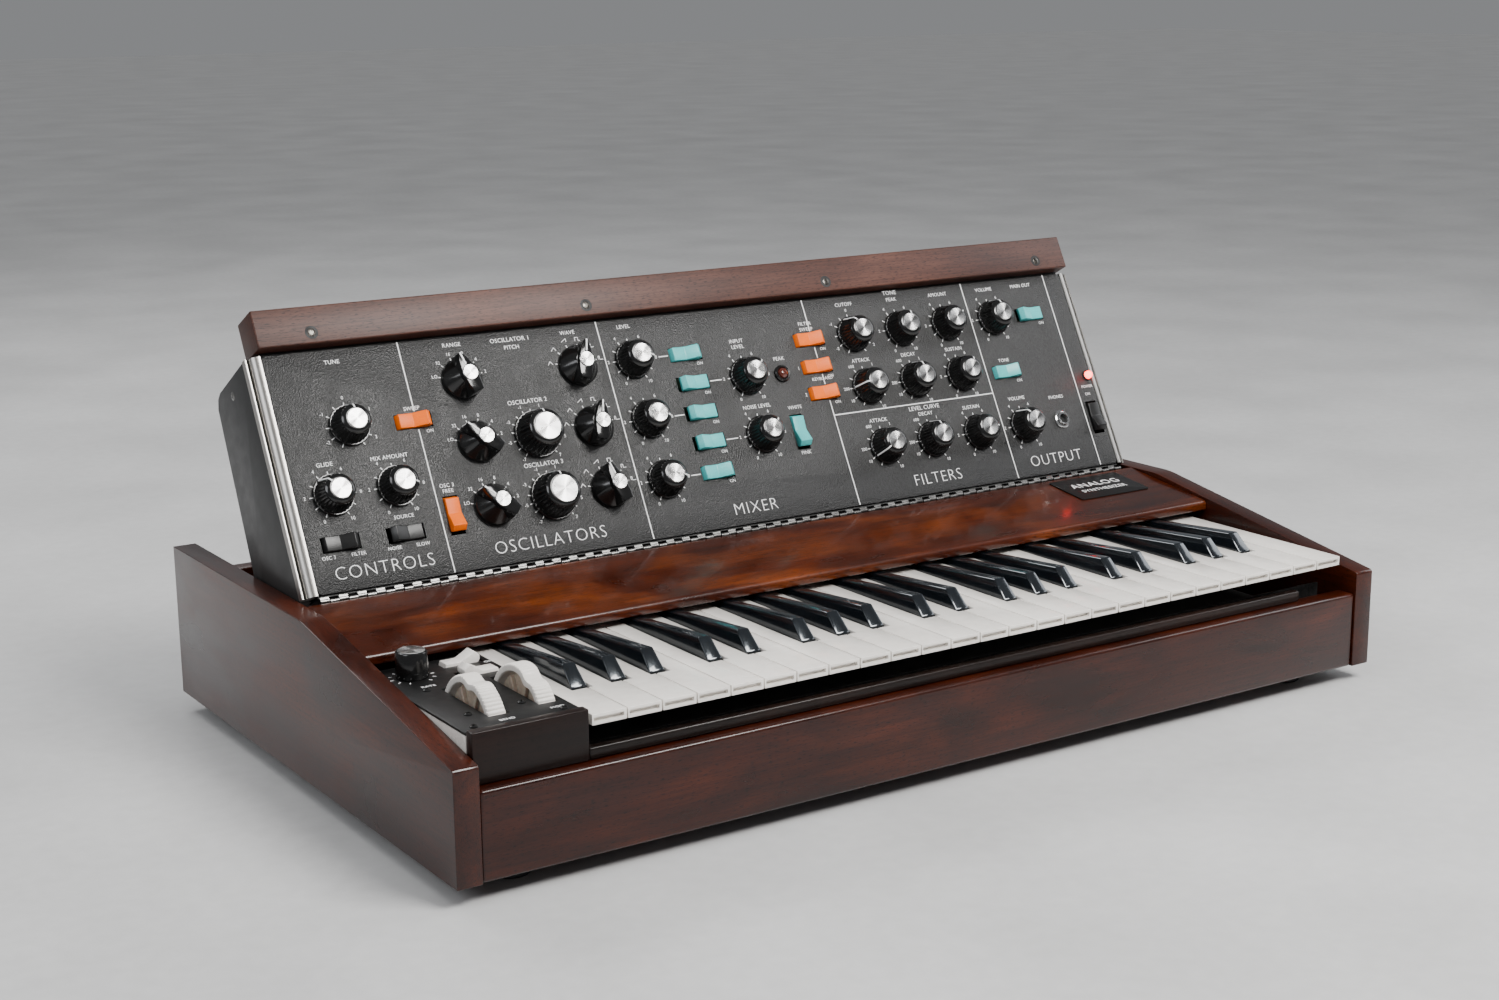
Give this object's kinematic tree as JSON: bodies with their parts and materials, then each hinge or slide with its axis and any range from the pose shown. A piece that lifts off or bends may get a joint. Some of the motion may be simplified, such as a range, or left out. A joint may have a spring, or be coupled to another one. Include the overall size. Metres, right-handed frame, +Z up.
{
  "type": "keyboard synthesizer",
  "caption": "Wooden-cased keyboard synthesizer with a fold-up knob panel, rocker switches, two side wheels and a full-size short keyboard.",
  "frame": {"origin": "centre of the case's footprint, on the surface the feet stand on", "axes": "+X to the player's right, +Y away from the player, +Z up"},
  "size_m": [0.728, 0.43, 0.2914],
  "materials": {
    "case_wood": "stained and satin lacquered",
    "panel_black": "fine leather-grain black paint",
    "dark_shell": "dark grey satin paint with aluminium corner trims",
    "nickel": "bright nickel plate",
    "zinc_steel": "zinc plated",
    "knob_black": "gloss black with a spun aluminium cap",
    "white_key": "moulded white, lightly glossy",
    "black_key": "gloss black",
    "wheel_white": "moulded white",
    "rocker_blue": "moulded blue-green",
    "rocker_orange": "moulded orange",
    "rocker_black": "moulded black",
    "circuit_board": "green solder mask"
  },
  "bodies": {
    "case": {"left_cheek": "case_wood", "right_cheek": "case_wood", "front_rail": "case_wood", "rear_board": "case_wood", "base_board": "case_wood", "shelf_board": "case_wood", "key_slip": "case_wood", "key_bed": "zinc_steel", "controller_box": "wheel_white", "controller_plate": "panel_black", "hinge_lower_leaf": "nickel"},
    "console": {"console_shell": "dark_shell", "faceplate": "panel_black", "console_top_rail": "case_wood", "hinge_upper_leaf": "nickel", "main_board": "circuit_board"},
    "prop_stay": {"prop_stay": "zinc_steel"},
    "pitch_wheel": {"pitch_wheel": "wheel_white"},
    "modulation_wheel": {"modulation_wheel": "wheel_white"},
    "rate_knob": {"rate_knob": "knob_black"},
    "tune_knob": {"tune_knob": "knob_black"},
    "glide_knob": {"glide_knob": "knob_black"},
    "modulation_mix_knob": {"modulation_mix_knob": "knob_black"},
    "range_1_knob": {"range_1_knob": "knob_black"},
    "range_2_knob": {"range_2_knob": "knob_black"},
    "range_3_knob": {"range_3_knob": "knob_black"},
    "frequency_2_knob": {"frequency_2_knob": "knob_black"},
    "frequency_3_knob": {"frequency_3_knob": "knob_black"},
    "waveform_1_knob": {"waveform_1_knob": "knob_black"},
    "waveform_2_knob": {"waveform_2_knob": "knob_black"},
    "waveform_3_knob": {"waveform_3_knob": "knob_black"},
    "volume_1_knob": {"volume_1_knob": "knob_black"},
    "volume_2_knob": {"volume_2_knob": "knob_black"},
    "volume_3_knob": {"volume_3_knob": "knob_black"},
    "external_volume_knob": {"external_volume_knob": "knob_black"},
    "noise_volume_knob": {"noise_volume_knob": "knob_black"},
    "cutoff_knob": {"cutoff_knob": "knob_black"},
    "emphasis_knob": {"emphasis_knob": "knob_black"},
    "contour_amount_knob": {"contour_amount_knob": "knob_black"},
    "filter_attack_knob": {"filter_attack_knob": "knob_black"},
    "filter_decay_knob": {"filter_decay_knob": "knob_black"},
    "filter_sustain_knob": {"filter_sustain_knob": "knob_black"},
    "loudness_attack_knob": {"loudness_attack_knob": "knob_black"},
    "loudness_decay_knob": {"loudness_decay_knob": "knob_black"},
    "loudness_sustain_knob": {"loudness_sustain_knob": "knob_black"},
    "main_volume_knob": {"main_volume_knob": "knob_black"},
    "phones_volume_knob": {"phones_volume_knob": "knob_black"},
    "mixer_switch_1": {"mixer_switch_1": "rocker_blue"},
    "mixer_switch_2": {"mixer_switch_2": "rocker_blue"},
    "mixer_switch_3": {"mixer_switch_3": "rocker_blue"},
    "mixer_switch_4": {"mixer_switch_4": "rocker_blue"},
    "mixer_switch_5": {"mixer_switch_5": "rocker_blue"},
    "oscillator_modulation_switch": {"oscillator_modulation_switch": "rocker_orange"},
    "oscillator_3_switch": {"oscillator_3_switch": "rocker_orange"},
    "main_output_switch": {"main_output_switch": "rocker_blue"},
    "power_switch": {"power_switch": "rocker_black"},
    "white_keys_low": {"white_keys_low": "white_key"},
    "black_keys_low": {"black_keys_low": "black_key"},
    "white_keys_high": {"white_keys_high": "white_key"},
    "black_keys_high": {"black_keys_high": "black_key"}
  },
  "joints": [
    {"name": "console_tilt", "type": "hinge", "parent": "case", "child": "console", "pos_m": [0, 0.021, 0.117], "axis": [1, 0, 0], "range_deg": [-62.1, 0]},
    {"name": "prop_stay_fold", "type": "hinge", "parent": "case", "child": "prop_stay", "pos_m": [0, 0.052, 0.028], "axis": [1, 0, 0], "range_deg": [-52.5, 0]},
    {"name": "pitch_wheel_turn", "type": "hinge", "parent": "case", "child": "pitch_wheel", "pos_m": [-0.317, -0.15, 0.0775], "axis": [1, 0, 0], "range_deg": [-30, 30], "stiffness_Nm_per_rad": 0.12},
    {"name": "modulation_wheel_turn", "type": "hinge", "parent": "case", "child": "modulation_wheel", "pos_m": [-0.2835, -0.147, 0.0775], "axis": [1, 0, 0], "range_deg": [-60, 0]},
    {"name": "rate_knob_turn", "type": "hinge", "parent": "case", "child": "rate_knob", "pos_m": [-0.3275, -0.089, 0.0952], "axis": [0, 0, 1], "range_deg": [-150, 150]},
    {"name": "tune_knob_turn", "type": "hinge", "parent": "console", "child": "tune_knob", "pos_m": [-0.29, 0.07318, 0.21641], "axis": [0, -0.8838, 0.4679], "range_deg": [-150, 150]},
    {"name": "glide_knob_turn", "type": "hinge", "parent": "console", "child": "glide_knob", "pos_m": [-0.31222, 0.05238, 0.17713], "axis": [0, -0.8838, 0.4679], "range_deg": [-190, 110]},
    {"name": "modulation_mix_knob_turn", "type": "hinge", "parent": "console", "child": "modulation_mix_knob", "pos_m": [-0.26777, 0.05238, 0.17713], "axis": [0, -0.8838, 0.4679], "range_deg": [-45, 255]},
    {"name": "range_1_knob_turn", "type": "hinge", "parent": "console", "child": "range_1_knob", "pos_m": [-0.203, 0.08358, 0.23605], "axis": [0, -0.8838, 0.4679], "range_deg": [-93.6, 62.4]},
    {"name": "range_2_knob_turn", "type": "hinge", "parent": "console", "child": "range_2_knob", "pos_m": [-0.203, 0.06278, 0.19677], "axis": [0, -0.8838, 0.4679], "range_deg": [-124.8, 31.2]},
    {"name": "range_3_knob_turn", "type": "hinge", "parent": "console", "child": "range_3_knob", "pos_m": [-0.203, 0.04198, 0.15749], "axis": [0, -0.8838, 0.4679], "range_deg": [-124.8, 31.2]},
    {"name": "frequency_2_knob_turn", "type": "hinge", "parent": "console", "child": "frequency_2_knob", "pos_m": [-0.15855, 0.06278, 0.19677], "axis": [0, -0.8838, 0.4679], "range_deg": [-150, 150]},
    {"name": "frequency_3_knob_turn", "type": "hinge", "parent": "console", "child": "frequency_3_knob", "pos_m": [-0.15855, 0.04198, 0.15749], "axis": [0, -0.8838, 0.4679], "range_deg": [-150, 150]},
    {"name": "waveform_1_knob_turn", "type": "hinge", "parent": "console", "child": "waveform_1_knob", "pos_m": [-0.1141, 0.08358, 0.23605], "axis": [0, -0.8838, 0.4679], "range_deg": [-62.4, 93.6]},
    {"name": "waveform_2_knob_turn", "type": "hinge", "parent": "console", "child": "waveform_2_knob", "pos_m": [-0.1141, 0.06278, 0.19677], "axis": [0, -0.8838, 0.4679], "range_deg": [-62.4, 93.6]},
    {"name": "waveform_3_knob_turn", "type": "hinge", "parent": "console", "child": "waveform_3_knob", "pos_m": [-0.1141, 0.04198, 0.15749], "axis": [0, -0.8838, 0.4679], "range_deg": [-93.6, 62.4]},
    {"name": "volume_1_knob_turn", "type": "hinge", "parent": "console", "child": "volume_1_knob", "pos_m": [-0.06965, 0.08358, 0.23605], "axis": [0, -0.8838, 0.4679], "range_deg": [-45, 255]},
    {"name": "volume_2_knob_turn", "type": "hinge", "parent": "console", "child": "volume_2_knob", "pos_m": [-0.06965, 0.06278, 0.19677], "axis": [0, -0.8838, 0.4679], "range_deg": [-45, 255]},
    {"name": "volume_3_knob_turn", "type": "hinge", "parent": "console", "child": "volume_3_knob", "pos_m": [-0.06965, 0.04198, 0.15749], "axis": [0, -0.8838, 0.4679], "range_deg": [-45, 255]},
    {"name": "external_volume_knob_turn", "type": "hinge", "parent": "console", "child": "external_volume_knob", "pos_m": [0.0195, 0.07318, 0.21641], "axis": [0, -0.8838, 0.4679], "range_deg": [-105, 195]},
    {"name": "noise_volume_knob_turn", "type": "hinge", "parent": "console", "child": "noise_volume_knob", "pos_m": [0.0195, 0.05238, 0.17713], "axis": [0, -0.8838, 0.4679], "range_deg": [-105, 195]},
    {"name": "cutoff_knob_turn", "type": "hinge", "parent": "console", "child": "cutoff_knob", "pos_m": [0.122, 0.08358, 0.23605], "axis": [0, -0.8838, 0.4679], "range_deg": [-180, 120]},
    {"name": "emphasis_knob_turn", "type": "hinge", "parent": "console", "child": "emphasis_knob", "pos_m": [0.16645, 0.08358, 0.23605], "axis": [0, -0.8838, 0.4679], "range_deg": [-130, 170]},
    {"name": "contour_amount_knob_turn", "type": "hinge", "parent": "console", "child": "contour_amount_knob", "pos_m": [0.2109, 0.08358, 0.23605], "axis": [0, -0.8838, 0.4679], "range_deg": [-90, 210]},
    {"name": "filter_attack_knob_turn", "type": "hinge", "parent": "console", "child": "filter_attack_knob", "pos_m": [0.122, 0.06416, 0.19938], "axis": [0, -0.8838, 0.4679], "range_deg": [-240, 60]},
    {"name": "filter_decay_knob_turn", "type": "hinge", "parent": "console", "child": "filter_decay_knob", "pos_m": [0.16645, 0.06416, 0.19938], "axis": [0, -0.8838, 0.4679], "range_deg": [-150, 150]},
    {"name": "filter_sustain_knob_turn", "type": "hinge", "parent": "console", "child": "filter_sustain_knob", "pos_m": [0.2109, 0.06416, 0.19938], "axis": [0, -0.8838, 0.4679], "range_deg": [-120, 180]},
    {"name": "loudness_attack_knob_turn", "type": "hinge", "parent": "console", "child": "loudness_attack_knob", "pos_m": [0.122, 0.04198, 0.15749], "axis": [0, -0.8838, 0.4679], "range_deg": [-270, 30]},
    {"name": "loudness_decay_knob_turn", "type": "hinge", "parent": "console", "child": "loudness_decay_knob", "pos_m": [0.16645, 0.04198, 0.15749], "axis": [0, -0.8838, 0.4679], "range_deg": [-150, 150]},
    {"name": "loudness_sustain_knob_turn", "type": "hinge", "parent": "console", "child": "loudness_sustain_knob", "pos_m": [0.2109, 0.04198, 0.15749], "axis": [0, -0.8838, 0.4679], "range_deg": [-60, 240]},
    {"name": "main_volume_knob_turn", "type": "hinge", "parent": "console", "child": "main_volume_knob", "pos_m": [0.257, 0.08358, 0.23605], "axis": [0, -0.8838, 0.4679], "range_deg": [-150, 150]},
    {"name": "phones_volume_knob_turn", "type": "hinge", "parent": "console", "child": "phones_volume_knob", "pos_m": [0.257, 0.04198, 0.15749], "axis": [0, -0.8838, 0.4679], "range_deg": [-180, 120]},
    {"name": "mixer_switch_1_rock", "type": "hinge", "parent": "console", "child": "mixer_switch_1", "pos_m": [-0.026, 0.08659, 0.23446], "axis": [0, 0.4679, 0.8838], "range_deg": [0, 20]},
    {"name": "mixer_switch_2_rock", "type": "hinge", "parent": "console", "child": "mixer_switch_2", "pos_m": [-0.026, 0.07619, 0.21482], "axis": [0, 0.4679, 0.8838], "range_deg": [-20, 0]},
    {"name": "mixer_switch_3_rock", "type": "hinge", "parent": "console", "child": "mixer_switch_3", "pos_m": [-0.026, 0.06579, 0.19518], "axis": [0, 0.4679, 0.8838], "range_deg": [-20, 0]},
    {"name": "mixer_switch_4_rock", "type": "hinge", "parent": "console", "child": "mixer_switch_4", "pos_m": [-0.026, 0.05539, 0.17554], "axis": [0, 0.4679, 0.8838], "range_deg": [-20, 0]},
    {"name": "mixer_switch_5_rock", "type": "hinge", "parent": "console", "child": "mixer_switch_5", "pos_m": [-0.026, 0.04499, 0.1559], "axis": [0, 0.4679, 0.8838], "range_deg": [0, 20]},
    {"name": "oscillator_modulation_switch_rock", "type": "hinge", "parent": "console", "child": "oscillator_modulation_switch", "pos_m": [-0.2447, 0.07526, 0.21308], "axis": [0, 0.4679, 0.8838], "range_deg": [0, 20]},
    {"name": "oscillator_3_switch_rock", "type": "hinge", "parent": "console", "child": "oscillator_3_switch", "pos_m": [-0.233, 0.04377, 0.1536], "axis": [-1, 0, 0], "range_deg": [-20, 0]},
    {"name": "main_output_switch_rock", "type": "hinge", "parent": "console", "child": "main_output_switch", "pos_m": [0.2945, 0.08659, 0.23446], "axis": [0, 0.4679, 0.8838], "range_deg": [-20, 0]},
    {"name": "power_switch_rock", "type": "hinge", "parent": "console", "child": "power_switch", "pos_m": [0.329, 0.04424, 0.15448], "axis": [-1, 0, 0], "range_deg": [-20, 0]},
    {"name": "white_keys_low_press", "type": "hinge", "parent": "case", "child": "white_keys_low", "pos_m": [0, -0.008, 0.089], "axis": [1, 0, 0], "range_deg": [0, 2.8], "stiffness_Nm_per_rad": 10.64, "springref_deg": -5.16},
    {"name": "black_keys_low_press", "type": "hinge", "parent": "case", "child": "black_keys_low", "pos_m": [0, -0.008, 0.089], "axis": [1, 0, 0], "range_deg": [0, 2.8], "stiffness_Nm_per_rad": 6, "springref_deg": -5.16},
    {"name": "white_keys_high_press", "type": "hinge", "parent": "case", "child": "white_keys_high", "pos_m": [0, -0.008, 0.089], "axis": [1, 0, 0], "range_deg": [0, 2.8], "stiffness_Nm_per_rad": 9.12, "springref_deg": -5.16},
    {"name": "black_keys_high_press", "type": "hinge", "parent": "case", "child": "black_keys_high", "pos_m": [0, -0.008, 0.089], "axis": [1, 0, 0], "range_deg": [0, 2.8], "stiffness_Nm_per_rad": 4.8, "springref_deg": -5.16}
  ],
  "couplings": [
    {"joint": "prop_stay_fold", "follows": "console_tilt", "ratio": 0.8454}
  ]
}
